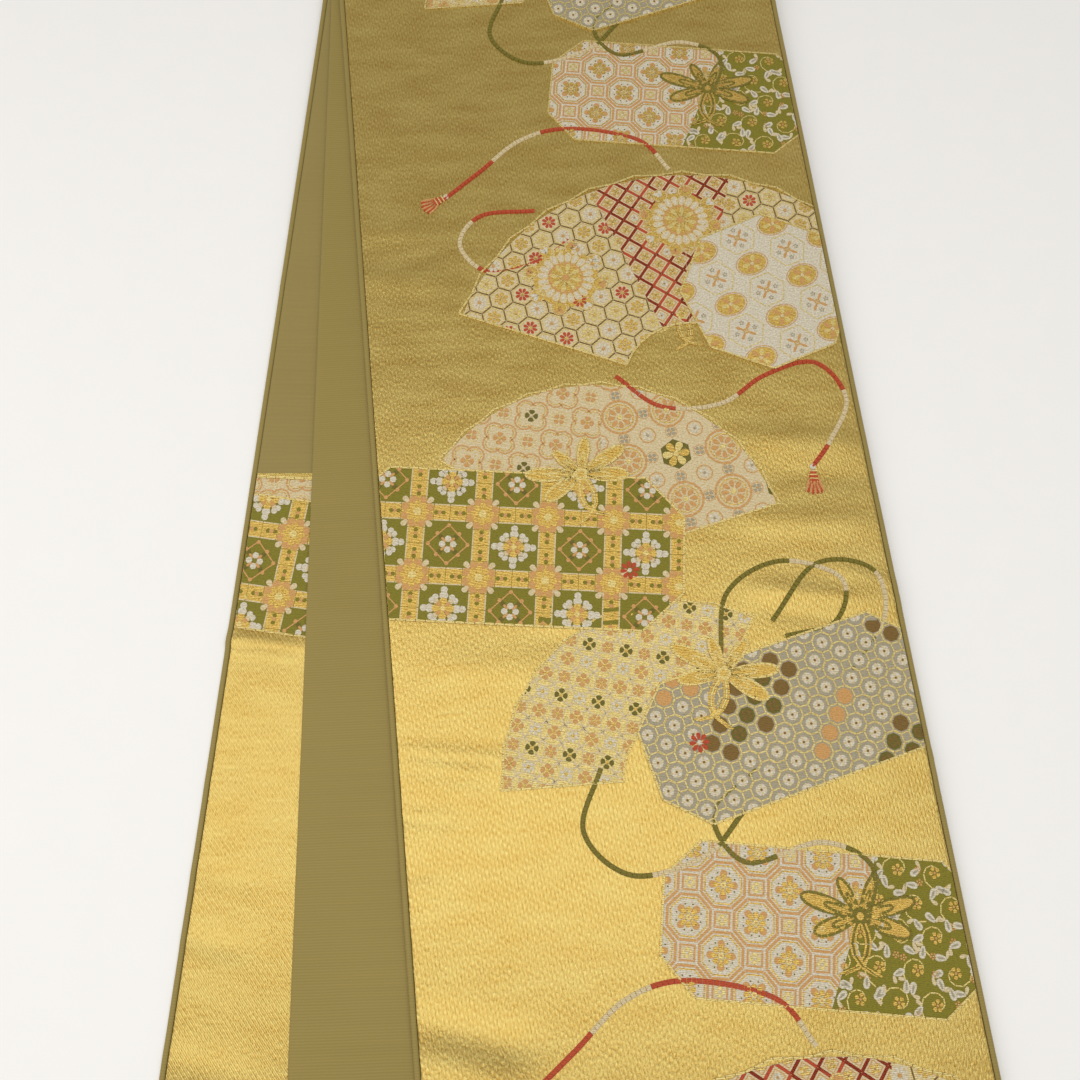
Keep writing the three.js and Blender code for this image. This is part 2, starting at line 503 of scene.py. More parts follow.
def sash_rows():
    """All rows in order, each with its length along the sash and the weave of its face."""
    rows = []
    for distance in reversed(row_steps(MIDDLE.length, 60.0, 840.0, 5.0, 14.0)):
        rows.append((flat_row(MIDDLE, distance), MIDDLE.length - distance, "gold"))
    length = MIDDLE.length
    rows += turn_rows(FAR_FOLD, length, FAR_TURN_ARC, "gold", backwards=True)
    length += FAR_TURN_ARC
    for distance in row_steps(TOP.length, 55.0, 850.0, 3.6, 8.0):
        rows.append((flat_row(TOP, distance), length + distance, "gold"))
    length += TOP.length
    rows += turn_rows(NEAR_FOLD, length, NEAR_TURN_ARC, "gold")
    length += NEAR_TURN_ARC
    for distance in reversed(row_steps(UNDER.length, 0.0, 0.0, 16.0, 16.0)):
        rows.append((flat_row(UNDER, distance), length + UNDER.length - distance, "plain"))
    length += UNDER.length
    rows += turn_rows(LOW_FAR_FOLD, length, FAR_TURN_ARC, "plain")
    length += FAR_TURN_ARC
    for distance in row_steps(LOWER.length, 55.0, 850.0, 4.0, 12.0):
        weave = "plain" if distance < -PATTERN_START else "fine"
        rows.append((flat_row(LOWER, distance), length + distance, weave))
    return rows


def face_section():
    """The face cloth cut across: pairs of outer and inner places, (across, depth)."""
    edge = LINING_BORDER + 0.2
    inner = FACE_THICKNESS
    columns = np.linspace(edge + 2.0, CLOTH_WIDTH - edge - 2.0, 52)
    left = [((edge, 0.3), (edge, inner - 0.2)), ((edge + 0.6, 0.05), (edge + 0.6, inner))]
    right = [
        ((CLOTH_WIDTH - place, outer), (CLOTH_WIDTH - place, inside))
        for (place, outer), (unused, inside) in reversed(left)
    ]
    return [*left, *[((at, 0.0), (at, inner)) for at in columns], *right]


def lining_section():
    """The lining cut across: it comes round each long edge and a border's width onto the face."""
    outer = PLY
    inner = PLY - LINING_THICKNESS
    rounded = [
        ((LINING_BORDER, 0.02), (LINING_BORDER, 0.5)),
        ((1.7, -0.08), (1.9, 0.5)),
        ((0.7, 0.12), (1.2, 0.62)),
        ((0.1, 0.55), (0.8, 0.8)),
        ((0.0, 0.95), (0.7, 0.97)),
        ((0.2, 1.4), (0.8, 1.1)),
        ((0.8, 1.78), (1.2, 1.26)),
        ((1.9, outer), (1.9, inner)),
    ]
    columns = np.linspace(4.5, CLOTH_WIDTH - 4.5, 40)
    mirrored = [
        ((CLOTH_WIDTH - out[0], out[1]), (CLOTH_WIDTH - ins[0], ins[1]))
        for out, ins in reversed(rounded)
    ]
    return [*rounded, *[((at, outer), (at, inner)) for at in columns], *mirrored]


def loft(name, section, rows, materials, slot_of):
    """A closed shell through every row of the sash, with the given section across it."""
    outer = np.array([pair[0] for pair in section])
    inner = np.array([pair[1] for pair in section])
    width = len(section)
    blocks = []
    chart = []
    for row, length, weave in rows:
        for side in (outer, inner):
            blocks.append(row(side[:, 0], side[:, 1]))
            chart.append(np.stack([side[:, 0] * MM, np.full(width, -length * MM)], axis=-1))
    points = np.concatenate(blocks)
    faces = []
    slots = []
    for index in range(len(rows) - 1):
        here, there = index * 2 * width, (index + 1) * 2 * width
        slot = slot_of(rows[index + 1][2])
        for column in range(width - 1):
            a, b = here + column, there + column
            faces.append((a, a + 1, b + 1, b))
            c, d = a + width, b + width
            faces.append((c, d, d + 1, c + 1))
            slots += [slot, slot]
        for column in (0, width - 1):
            a, b = here + column, there + column
            rim = (a, b, b + width, a + width)
            faces.append(rim if column == 0 else rim[::-1])
            slots.append(slot)
    for index in (0, len(rows) - 1):
        here = index * 2 * width
        for column in range(width - 1):
            cap = (here + column, here + column + width, here + column + width + 1, here + column + 1)
            faces.append(cap if index == 0 else cap[::-1])
            slots.append(slot_of(rows[index][2]))
    return make_piece(name, points, faces, slots, materials, np.concatenate(chart), True)


def make_piece(name, points, faces, slots, materials, chart, smooth_shaded):
    mesh = bpy.data.meshes.new(name)
    mesh.from_pydata(points.tolist(), [], faces)
    for material in materials:
        mesh.materials.append(material)
    mesh.polygons.foreach_set("material_index", slots)
    mesh.polygons.foreach_set("use_smooth", [smooth_shaded] * len(faces))
    corners = np.empty(len(mesh.loops), dtype=np.int32)
    mesh.loops.foreach_get("vertex_index", corners)
    layer = mesh.uv_layers.new(name="cloth")
    layer.data.foreach_set("uv", chart[corners].astype(np.float32).ravel())
    mesh.update()
    piece = bpy.data.objects.new(name, mesh)
    bpy.context.collection.objects.link(piece)
    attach(piece, "root")
    return piece


rows = sash_rows()
face_slots = {"gold": 0, "plain": 1, "fine": 2}
face = loft(
    "brocade_face", face_section(), rows, [BROCADE, PLAIN_WEAVE, FINE_TWILL], face_slots.get
)
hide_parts("top_face", "middle_face", "lower_face", "hidden_layers")
lining = loft("olive_lining", lining_section(), rows, [LINING], lambda weave: 0)
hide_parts("top_lining", "middle_lining", "lower_lining")

# ---------------------------------------------------------------- figuring: plane shapes

LINE = 0.30
PETAL = 0.42
HEART = 0.55
TRIM = 0.62
GROUND = 0.16
GROUND_CELL = 6.0
SINK = 0.1
IN_FRONT = 0.5
OVER_PANEL = 0.6


@dataclass
class Mark:
    """One convex patch of coloured floats: its corners, its thread and how high it stands."""

    points: list
    thread: str
    level: float


def clipped(points, outline):
    """A convex shape cut back to a convex outline that runs anticlockwise."""
    for index, start in enumerate(outline):
        end = outline[(index + 1) % len(outline)]
        edge_x, edge_y = end[0] - start[0], end[1] - start[1]
        sides = [edge_x * (p[1] - start[1]) - edge_y * (p[0] - start[0]) for p in points]
        if min(sides, default=0.0) >= -1e-9:
            continue
        kept = []
        for here, (point, side) in enumerate(zip(points, sides)):
            before, before_side = points[here - 1], sides[here - 1]
            if (side >= 0) != (before_side >= 0):
                share = before_side / (before_side - side)
                kept.append((
                    before[0] + share * (point[0] - before[0]),
                    before[1] + share * (point[1] - before[1]),
                ))
            if side >= 0:
                kept.append(point)
        points = kept
        if len(points) < 3:
            return []
    return points


def area(points):
    total = 0.0
    for index, point in enumerate(points):
        before = points[index - 1]
        total += before[0] * point[1] - point[0] * before[1]
    return total / 2


def turned(point, angle, centre=(0.0, 0.0)):
    sine, cosine = math.sin(angle), math.cos(angle)
    return (
        centre[0] + point[0] * cosine - point[1] * sine,
        centre[1] + point[0] * sine + point[1] * cosine,
    )


def polar(centre, radius, angle):
    return centre[0] + radius * math.cos(angle), centre[1] + radius * math.sin(angle)


def disc(centre, radius, thread, level, sides=8, start=0.0):
    step = 2 * math.pi / sides
    points = [polar(centre, radius, start + step * index) for index in range(sides)]
    return Mark(points, thread, level)


def petal(centre, angle, near, far, width, thread, level):
    """A rounded petal that points away from a centre, from the near to the far radius."""
    shape = [(0.0, 0.35), (0.35, 0.85), (0.7, 1.0), (0.93, 0.62), (1.0, 0.0)]
    right = [(near + (far - near) * run, -0.5 * width * side) for run, side in shape]
    left = [(near + (far - near) * run, 0.5 * width * side) for run, side in reversed(shape[:-1])]
    return Mark([turned(p, angle, centre) for p in right + left], thread, level)


def band(path, width, thread, level, closed=False):
    """A line of even width along a path, in one patch for each of its steps."""
    count = len(path)
    offsets = []
    for index, point in enumerate(path):
        before = path[index - 1] if closed or index else point
        after = path[(index + 1) % count] if closed or index < count - 1 else point
        one = math.atan2(point[1] - before[1], point[0] - before[0]) if before != point else None
        two = math.atan2(after[1] - point[1], after[0] - point[0]) if after != point else None
        one = two if one is None else one
        two = one if two is None else two
        bend = (two - one + math.pi) % (2 * math.pi) - math.pi
        heading = one + bend / 2 + math.pi / 2
        reach = 0.5 * width / max(math.cos(bend / 2), 0.4)
        offsets.append((reach * math.cos(heading), reach * math.sin(heading)))
    marks = []
    for index in range(count if closed else count - 1):
        after = (index + 1) % count
        (ax, ay), (bx, by) = path[index], path[after]
        (aox, aoy), (box, boy) = offsets[index], offsets[after]
        quad = [(ax - aox, ay - aoy), (bx - box, by - boy), (bx + box, by + boy), (ax + aox, ay + aoy)]
        marks.append(Mark(quad, thread, level))
    return marks


def loop(centre, radius, sides, width, thread, level, start=0.0, squash=1.0, lean=0.0):
    step = 2 * math.pi / sides
    path = []
    for k in range(sides):
        angle = start + step * k
        place = (radius * math.cos(angle), squash * radius * math.sin(angle))
        path.append(turned(place, lean, centre))
    return band(path, width, thread, level, closed=True)


def petals(centre, count, near, far, width, threads, level, start=0.0):
    """Petals at even turns round a centre, in one thread or in several by turns."""
    return [
        petal(
            centre, start + 2 * math.pi * k / count, near, far, width,
            threads[k % len(threads)], level,
        )
        for k in range(count)
    ]


def dots(centre, count, away, radius, thread, level, sides=8, start=0.0):
    """Round dots at even turns round a centre."""
    return [
        disc(polar(centre, away, start + 2 * math.pi * k / count), radius, thread, level, sides)
        for k in range(count)
    ]


def flower(centre, radius, count, thread, heart, start=0.0):
    width = 0.9 * 2 * math.pi * 0.68 * radius / count
    marks = petals(centre, count, 0.26 * radius, radius, width, [thread], PETAL, start)
    return [*marks, disc(centre, 0.26 * radius, heart, HEART, 8)]


def grid(reach, step):
    """Whole-number places of a lattice that covers a square of the given reach."""
    count = int(reach / step) + 2
    return [
        (column, row)
        for row in range(-count, count + 1)
        for column in range(-count, count + 1)
    ]


# ---------------------------------------------------------------- figuring: woven repeats


def star_flower(centre, size, turn):
    """A four-pointed flower head of gold lobes with copper tips and small leaves between."""
    diagonal = turn + math.pi / 4
    marks = petals(centre, 4, 0.30 * size, size, 0.52 * size, ["copper"], PETAL, turn)
    marks += petals(centre, 4, 0.22 * size, 0.74 * size, 0.36 * size, ["gold"], HEART, turn)
    marks += petals(centre, 4, 0.25 * size, 0.70 * size, 0.42 * size, ["gold"], PETAL, diagonal)
    for lean in (-0.304, 0.304):
        marks += dots(
            centre, 4, 0.86 * size, 0.075 * size, "deep_olive", PETAL, 5, diagonal + lean
        )
    marks.append(disc(centre, 0.24 * size, "pale_gold", TRIM, 8))
    marks.append(disc(centre, 0.10 * size, "copper", TRIM + 0.08, 6))
    return marks


def octagon_repeat(reach, pitch=26.0):
    """Octagons and squares, outlined in copper on white, a star flower in each octagon."""
    marks = []
    round_up = 1.0 / math.cos(math.pi / 8)
    for column, row in grid(reach, pitch):
        centre = (column * pitch, row * pitch)
        marks += loop(centre, 0.455 * pitch * round_up, 8, 1.5, "copper", LINE, math.pi / 8)
        marks += loop(centre, 0.385 * pitch * round_up, 8, 0.8, "gold", LINE, math.pi / 8)
        marks += star_flower(centre, 0.315 * pitch, math.pi / 4 * ((column + row) % 2))
        cross = (centre[0] + pitch / 2, centre[1] + pitch / 2)
        marks += loop(cross, 0.215 * pitch, 4, 1.1, "copper", LINE, 0.0)
        marks.append(disc(cross, 0.17 * pitch, "cream", LINE - 0.05, 4))
        marks += flower(cross, 0.12 * pitch, 4, "pale_gold", "white", math.pi / 4)
    return marks


def hexagon_repeat(reach, pitch=14.2):
    """Tortoiseshell hexagons, each with a small round flower."""
    marks = []
    chooser = random.Random(11)
    palette = ["vermilion", "pale_gold", "white", "gold", "pale_gold", "white", "gold"]
    rise = pitch * math.sqrt(3) / 2
    for column, row in grid(reach, rise):
        centre = (column * pitch + (row % 2) * pitch / 2, row * rise)
        marks += loop(centre, 0.565 * pitch, 6, 0.55, "bronze", LINE, math.pi / 6)
        marks += loop(centre, 0.49 * pitch, 6, 0.7, "pale_gold", LINE + 0.05, math.pi / 6)
        thread = palette[(column + 3 * row) % len(palette)]
        if chooser.random() < 0.18:
            thread = chooser.choice(palette)
        petals = 8 if thread in ("vermilion", "white") else 6
        heart = "copper" if thread == "white" else "gold"
        marks += flower(centre, 0.34 * pitch, petals, thread, heart, 0.2)
    return marks


def lattice_repeat(reach, pitch=10.5):
    """Slanting vermilion bars with a small flower in every opening."""
    marks = []
    for column, row in grid(reach, pitch):
        centre = (column * pitch, row * pitch)
        for start in (0, 2):
            corners = [(-0.5, -0.5), (0.5, -0.5), (0.5, 0.5), (-0.5, 0.5)]
            a, b = corners[start], corners[(start + 1) % 4]
            path = [(centre[0] + a[0] * pitch, centre[1] + a[1] * pitch),
                    (centre[0] + b[0] * pitch, centre[1] + b[1] * pitch)]
            marks += band(path, 1.9, "vermilion", LINE)
            side = [(centre[0] + a[1] * pitch, centre[1] + a[0] * pitch),
                    (centre[0] + b[1] * pitch, centre[1] + b[0] * pitch)]
            marks += band(side, 1.9, "vermilion", LINE)
        marks += loop(centre, 0.42 * pitch, 4, 0.5, "copper", LINE, math.pi / 4)
        bright = (column * 2 + row) % 5 == 0
        marks += flower(centre, 0.27 * pitch, 4, "white" if bright else "gold", "copper", 0.0)
        marks += flower(centre, 0.20 * pitch, 4, "white" if bright else "pale_gold", "copper",
                        math.pi / 4)
    return marks


def oval_repeat(reach, pitch=21.0):
    """Gold ovals set between white openings, with a crossed flower in each opening."""
    marks = []
    for column, row in grid(reach, pitch):
        centre = (column * pitch * 1.25, row * pitch)
        if (column + row) % 2:
            marks += loop(centre, 0.52 * pitch, 16, 0.7, "copper", LINE, 0.0, 0.74)
            marks.append(Mark([polar_squashed(centre, 0.48 * pitch, 0.74, k / 14) for k in range(14)],
                              "gold", LINE))
            marks += petals(centre, 6, 0.06 * pitch, 0.33 * pitch, 0.16 * pitch,
                            ["copper", "pale_gold"], PETAL)
            marks.append(disc(centre, 0.07 * pitch, "cream", HEART, 6))
        else:
            marks += petals(centre, 4, 0.05 * pitch, 0.34 * pitch, 0.10 * pitch, ["copper"],
                            LINE, math.pi / 4)
            for k in range(4):
                marks += flower(polar(centre, 0.30 * pitch, k * math.pi / 2), 0.085 * pitch, 5,
                                "silver", "white")
            marks += loop(centre, 0.60 * pitch, 6, 0.6, "pale_gold", LINE, 0.0)
            marks += flower(centre, 0.10 * pitch, 4, "gold", "copper")
    return marks


def polar_squashed(centre, radius, squash, share):
    angle = 2 * math.pi * share
    return centre[0] + radius * math.cos(angle), centre[1] + squash * radius * math.sin(angle)


def bar_repeat(reach, pitch=40.0):
    """Broad gold bars crossing on green, a rosette on each crossing and a flower in each cell."""
    marks = []
    half_bar = 0.125 * pitch
    for column, row in grid(reach, pitch):
        cell = (column * pitch, row * pitch)
        cross = (cell[0] + pitch / 2, cell[1] + pitch / 2)
        for turn in (0.0, math.pi / 2):
            for run in range(4):
                near, far = (-0.5 + run / 4) * pitch, (-0.25 + run / 4) * pitch
                path = [turned((near, 0.0), turn, (cross[0], cross[1])),
                        turned((far, 0.0), turn, (cross[0], cross[1]))]
                marks += band(path, 2 * half_bar, "gold", GROUND + 0.06)
                for side in (-half_bar, half_bar):
                    trim = [turned((near, side), turn, cross), turned((far, side), turn, cross)]
                    marks += band(trim, 0.85, "cream", LINE)
            for place in (-0.40, -0.29, 0.29, 0.40):
                spot = turned((place * pitch, 0.0), turn, cross)
                marks.append(disc(spot, 0.042 * pitch, "leaf", LINE, 6))
            for place in (-0.345, 0.345):
                spot = turned((place * pitch, 0.0), turn, cross)
                marks.append(disc(spot, 0.048 * pitch, "copper", LINE, 4, turn))
        marks += dots(cross, 8, 0.185 * pitch, 0.085 * pitch, "copper", LINE + 0.03, 8, 0.39)
        marks += petals(cross, 8, 0.05 * pitch, 0.19 * pitch, 0.11 * pitch, ["gold"], PETAL)
        marks += petals(cross, 4, 0.20 * pitch, 0.33 * pitch, 0.10 * pitch, ["cream"], PETAL,
                        math.pi / 4)
        marks.append(disc(cross, 0.07 * pitch, "pale_gold", HEART, 8))
        marks += bar_cell(cell, pitch, (column + row) % 2)
    return marks


def bar_cell(cell, pitch, plain):
    """The flower in one green cell: a white diamond of blossoms, or an outlined lozenge."""
    diagonal = math.pi / 4
    if plain:
        lozenge = [polar(cell, 0.31 * pitch, k * math.pi / 2) for k in range(4)]
        return [
            *band(lozenge, 0.8, "copper", LINE, closed=True),
            *dots(cell, 4, 0.30 * pitch, 0.040 * pitch, "copper", PETAL, 6),
            *dots(cell, 4, 0.235 * pitch, 0.040 * pitch, "copper", PETAL, 6, diagonal),
            *dots(cell, 4, 0.085 * pitch, 0.058 * pitch, "white", PETAL, 7),
            *dots(cell, 4, 0.165 * pitch, 0.045 * pitch, "deep_olive", LINE, 6, diagonal),
            *petals(cell, 4, 0.04 * pitch, 0.15 * pitch, 0.05 * pitch, ["copper"], HEART, diagonal),
        ]
    return [
        *dots(cell, 4, 0.29 * pitch, 0.062 * pitch, "white", PETAL, 7),
        *dots(cell, 4, 0.20 * pitch, 0.075 * pitch, "white", PETAL, 7),
        *dots(cell, 4, 0.215 * pitch, 0.055 * pitch, "white", PETAL, 7, -0.62),
        *dots(cell, 4, 0.215 * pitch, 0.055 * pitch, "white", PETAL, 7, 0.62),
        *dots(cell, 4, 0.155 * pitch, 0.05 * pitch, "cream", PETAL, 6, diagonal),
        *petals(cell, 4, 0.03 * pitch, 0.17 * pitch, 0.13 * pitch, ["gold"], HEART),
        *petals(cell, 4, 0.03 * pitch, 0.14 * pitch, 0.09 * pitch, ["copper"], HEART, diagonal),
        disc(cell, 0.05 * pitch, "pale_gold", TRIM, 6),
    ]


def quatrefoil_repeat(reach, pitch=25.0):
    """Four-lobed openings outlined in copper and cream, with a small green or gold blossom."""
    marks = []
    for column, row in grid(reach, pitch):
        centre = (column * pitch, row * pitch)
        for k in range(4):
            lobe = polar(centre, 0.23 * pitch, k * math.pi / 2)
            path = [polar(lobe, 0.235 * pitch, k * math.pi / 2 + (j - 3) * 0.62) for j in range(7)]
            marks += band(path, 1.1, "copper", LINE)
            inner = [polar(lobe, 0.165 * pitch, k * math.pi / 2 + (j - 3) * 0.58) for j in range(7)]
            marks += band(inner, 0.7, "gold", LINE)
        green = (column + 2 * row) % 3 == 0
        marks += flower(centre, 0.17 * pitch, 4, "deep_olive" if green else "copper",
                        "cream" if green else "gold", math.pi / 4)
        cross = (centre[0] + pitch / 2, centre[1] + pitch / 2)
        marks += flower(cross, 0.15 * pitch, 4, "copper", "pale_gold", 0.0)
        marks += loop(cross, 0.20 * pitch, 8, 0.5, "pale_gold", LINE, 0.0)
    return marks


def ring_repeat(reach, pitch=30.0):
    """Copper rings joined by small knots on cream, a wheel of petals in each ring."""
    marks = []
    for column, row in grid(reach, pitch):
        centre = (column * pitch, row * pitch)
        accent = (column + 2 * row) % 5 == 1
        if accent:
            marks.append(disc(centre, 0.34 * pitch, "deep_olive", LINE, 6, math.pi / 6))
            marks += petals(centre, 6, 0.05 * pitch, 0.29 * pitch, 0.17 * pitch,
                            ["gold", "pale_gold"], PETAL)
        else:
            marks += loop(centre, 0.37 * pitch, 14, 1.5, "copper", LINE)
            marks += loop(centre, 0.29 * pitch, 12, 0.9, "gold", LINE)
            marks += petals(centre, 8, 0.09 * pitch, 0.26 * pitch, 0.11 * pitch, ["copper"], PETAL)
            marks += dots(centre, 8, 0.22 * pitch, 0.022 * pitch, "gold", PETAL, 5, math.pi / 8)
        marks.append(disc(centre, 0.065 * pitch, "pale_gold", HEART, 8))
        for side in ((0.5, 0.0), (0.0, 0.5)):
            knot = (centre[0] + side[0] * pitch, centre[1] + side[1] * pitch)
            marks += flower(knot, 0.10 * pitch, 4, "silver", "copper", math.pi / 4)
            marks += loop(knot, 0.125 * pitch, 8, 0.5, "copper", LINE)
        cross = (centre[0] + pitch / 2, centre[1] + pitch / 2)
        marks += loop(cross, 0.17 * pitch, 8, 0.8, "copper", LINE)
        marks += flower(cross, 0.12 * pitch, 5, "white", "silver")
    return marks


def cell_repeat(reach, pitch=11.8):
    """Small silver octagons netted in gold line, with drifts of bronze and green cells."""
    marks = []
    round_up = 1.0 / math.cos(math.pi / 8)
    for column, row in grid(reach, pitch):
        centre = (column * pitch, row * pitch)
        drift = math.sin(column * 0.55 + 0.9 * row) + math.sin(row * 0.75 - 0.3 * column)
        marks += loop(centre, 0.485 * pitch * round_up, 8, 0.85, "pale_gold", LINE + 0.04,
                      math.pi / 8)
        if drift > 1.45:
            fill, blossom = "deep_olive", "bronze"
        elif drift > 0.8:
            fill, blossom = "bronze", None
        elif drift < -1.5:
            fill, blossom = "copper", None
        else:
            fill, blossom = "silver", "white"
        size = 0.40 if blossom != "white" else 0.385
        marks.append(disc(centre, size * pitch * round_up, fill, GROUND + 0.05, 8, math.pi / 8))
        if blossom:
            marks.append(disc(centre, 0.33 * pitch, "cream" if blossom == "white" else fill,
                              LINE, 4, math.pi / 4))
            marks += flower(centre, 0.30 * pitch, 4, blossom, "bronze", 0.0)
    return marks


def circle_repeat(reach, pitch=15.5):
    """Interlaced circles in pale gold line, small crossed blossoms in the openings."""
    marks = []
    for column, row in grid(reach, pitch):
        centre = (column * pitch, row * pitch)
        for shift in ((0.0, 0.0), (0.5, 0.5)):
            at = (centre[0] + shift[0] * pitch, centre[1] + shift[1] * pitch)
            marks += loop(at, 0.5 * pitch, 16, 0.95, "cream", LINE + 0.05 * shift[0])
        deep = (column + row) % 3 == 0
        marks += flower(centre, 0.26 * pitch, 4, "deep_olive" if deep else "copper", "gold",
                        math.pi / 4)
        cross = (centre[0] + pitch / 2, centre[1] + pitch / 2)
        marks += flower(cross, 0.24 * pitch, 6, "copper" if (column - row) % 2 else "white", "gold")
    return marks


def scroll_repeat(reach, pitch=21.0):
    """Curling stems with white leaves and small gold blossoms, on green."""
    marks = []
    chooser = random.Random(5)
    for column, row in grid(reach, pitch):
        centre = ((column + 0.5 * (row % 2)) * pitch, row * pitch * 0.82)
        heading = chooser.uniform(0, 2 * math.pi)
        stem = [
            polar(centre, pitch * (0.10 + 0.05 * k), heading + 0.62 * k) for k in range(9)
        ]
        marks += band(stem, 0.8, "pale_gold", LINE)
        for k in range(3):
            lean = heading + k * 2.1
            spot = polar(centre, 0.40 * pitch, lean)
            marks.append(petal(spot, lean + 0.9, 0.0, 0.34 * pitch, 0.20 * pitch, "white", PETAL))
            marks.append(petal(spot, lean + 0.9, 0.05 * pitch, 0.27 * pitch, 0.07 * pitch,
                               "silver", HEART))
            marks.append(petal(spot, lean - 0.8, 0.0, 0.22 * pitch, 0.12 * pitch, "cream", PETAL))
        marks += flower(centre, 0.17 * pitch, 5, "gold", "copper", heading)
        bud = polar(centre, 0.55 * pitch, heading + 1.1)
        marks += flower(bud, 0.10 * pitch, 5, "copper", "pale_gold", heading)
    return marks


def chrysanthemum(centre, radius):
    """A large round blossom: fine rays in the middle, scalloped petals and curled leaves."""
    marks = []
    marks.append(disc(centre, 0.80 * radius, "gold", LINE + 0.06, 20))
    for k in range(8):
        angle = (k + 0.5) * math.pi / 4
        curl = polar(centre, 0.84 * radius, angle)
        marks.append(disc(curl, 0.20 * radius, "gold", LINE + 0.08, 10))
        marks += loop(curl, 0.17 * radius, 10, 0.6, "cream", PETAL)
        for lean in (-0.55, 0.55):
            marks.append(petal(curl, angle + lean, -0.04 * radius, 0.17 * radius, 0.12 * radius,
                               "copper" if k % 2 else "white", PETAL))
    marks += petals(centre, 20, 0.40 * radius, 0.70 * radius, 0.19 * radius, ["cream"],
                    PETAL + 0.06)
    marks += petals(centre, 20, 0.44 * radius, 0.64 * radius, 0.08 * radius, ["white"],
                    HEART + 0.05)
    marks.append(disc(centre, 0.44 * radius, "copper", HEART, 16))
    marks += petals(centre, 16, 0.08 * radius, 0.41 * radius, 0.13 * radius,
                    ["gold", "pale_gold"], TRIM)
    marks.append(disc(centre, 0.09 * radius, "copper", TRIM + 0.1, 8))
    return marks


REPEATS = {
    "octagons": (octagon_repeat, "white", math.pi / 4),
    "hexagons": (hexagon_repeat, "cream", 0.0),
    "lattice": (lattice_repeat, "cream", math.pi / 4),
    "ovals": (oval_repeat, "white", 0.0),
    "bars": (bar_repeat, "leaf", 0.0),
    "quatrefoils": (quatrefoil_repeat, "cream", math.pi / 4),
    "rings": (ring_repeat, "cream", 0.3),
    "cells": (cell_repeat, "silver", math.pi / 4),
    "circles": (circle_repeat, "pale_gold", 0.0),
    "scrolls": (scroll_repeat, "leaf", 0.0),
}

# ---------------------------------------------------------------- figuring: panels


@dataclass
class Leaf:
    """A convex part of a panel, with the woven repeat that fills it."""

    outline: list
    repeat: str


def card(length, width, cut, share=None, first="octagons", second=None):
    """A long card with its corners cut, in one repeat, or two that meet on a slant."""
    x, y = length / 2, width / 2
    outline = [
        (-x + cut, -y), (x - cut, -y), (x, -y + cut), (x, y - cut),
        (x - cut, y), (-x + cut, y), (-x, y - cut), (-x, -y + cut),
    ]
    if second is None:
        return [Leaf(outline, first)], outline
    at = -x + share * length
    lean = 0.3 * width
    left = [(-2 * x, -2 * y), (at - lean, -2 * y), (at + lean, 2 * y), (-2 * x, 2 * y)]
    right = [(at - lean, -2 * y), (2 * x, -2 * y), (2 * x, 2 * y), (at + lean, 2 * y)]
    return [Leaf(clipped(outline, left), first), Leaf(clipped(outline, right), second)], outline


def fan(inner, outer, spread, repeats):
    """An open folding fan: a leaf for each rib, in runs of the given repeats."""
    ribs = len(repeats)
    step = spread / ribs
    start = math.pi / 2 + spread / 2
    leaves = []
    rim = []
    for index, repeat in enumerate(repeats):
        one, two = start - index * step, start - (index + 1) * step
        dip = 0.985
        mid = (one + two) / 2
        centre = (0.0, 0.0)
        outline = [
            polar(centre, inner, two), polar(centre, outer, two),
            polar(centre, outer * dip, mid), polar(centre, outer, one), polar(centre, inner, one),
        ]
        leaves.append(Leaf(outline, repeat))
        rim += [polar(centre, outer, one), polar(centre, outer * dip, mid)]
    rim.append(polar((0.0, 0.0), outer, start - spread))
    rim += [polar((0.0, 0.0), inner, start - spread + index * step) for index in range(ribs + 1)]
    return leaves, rim


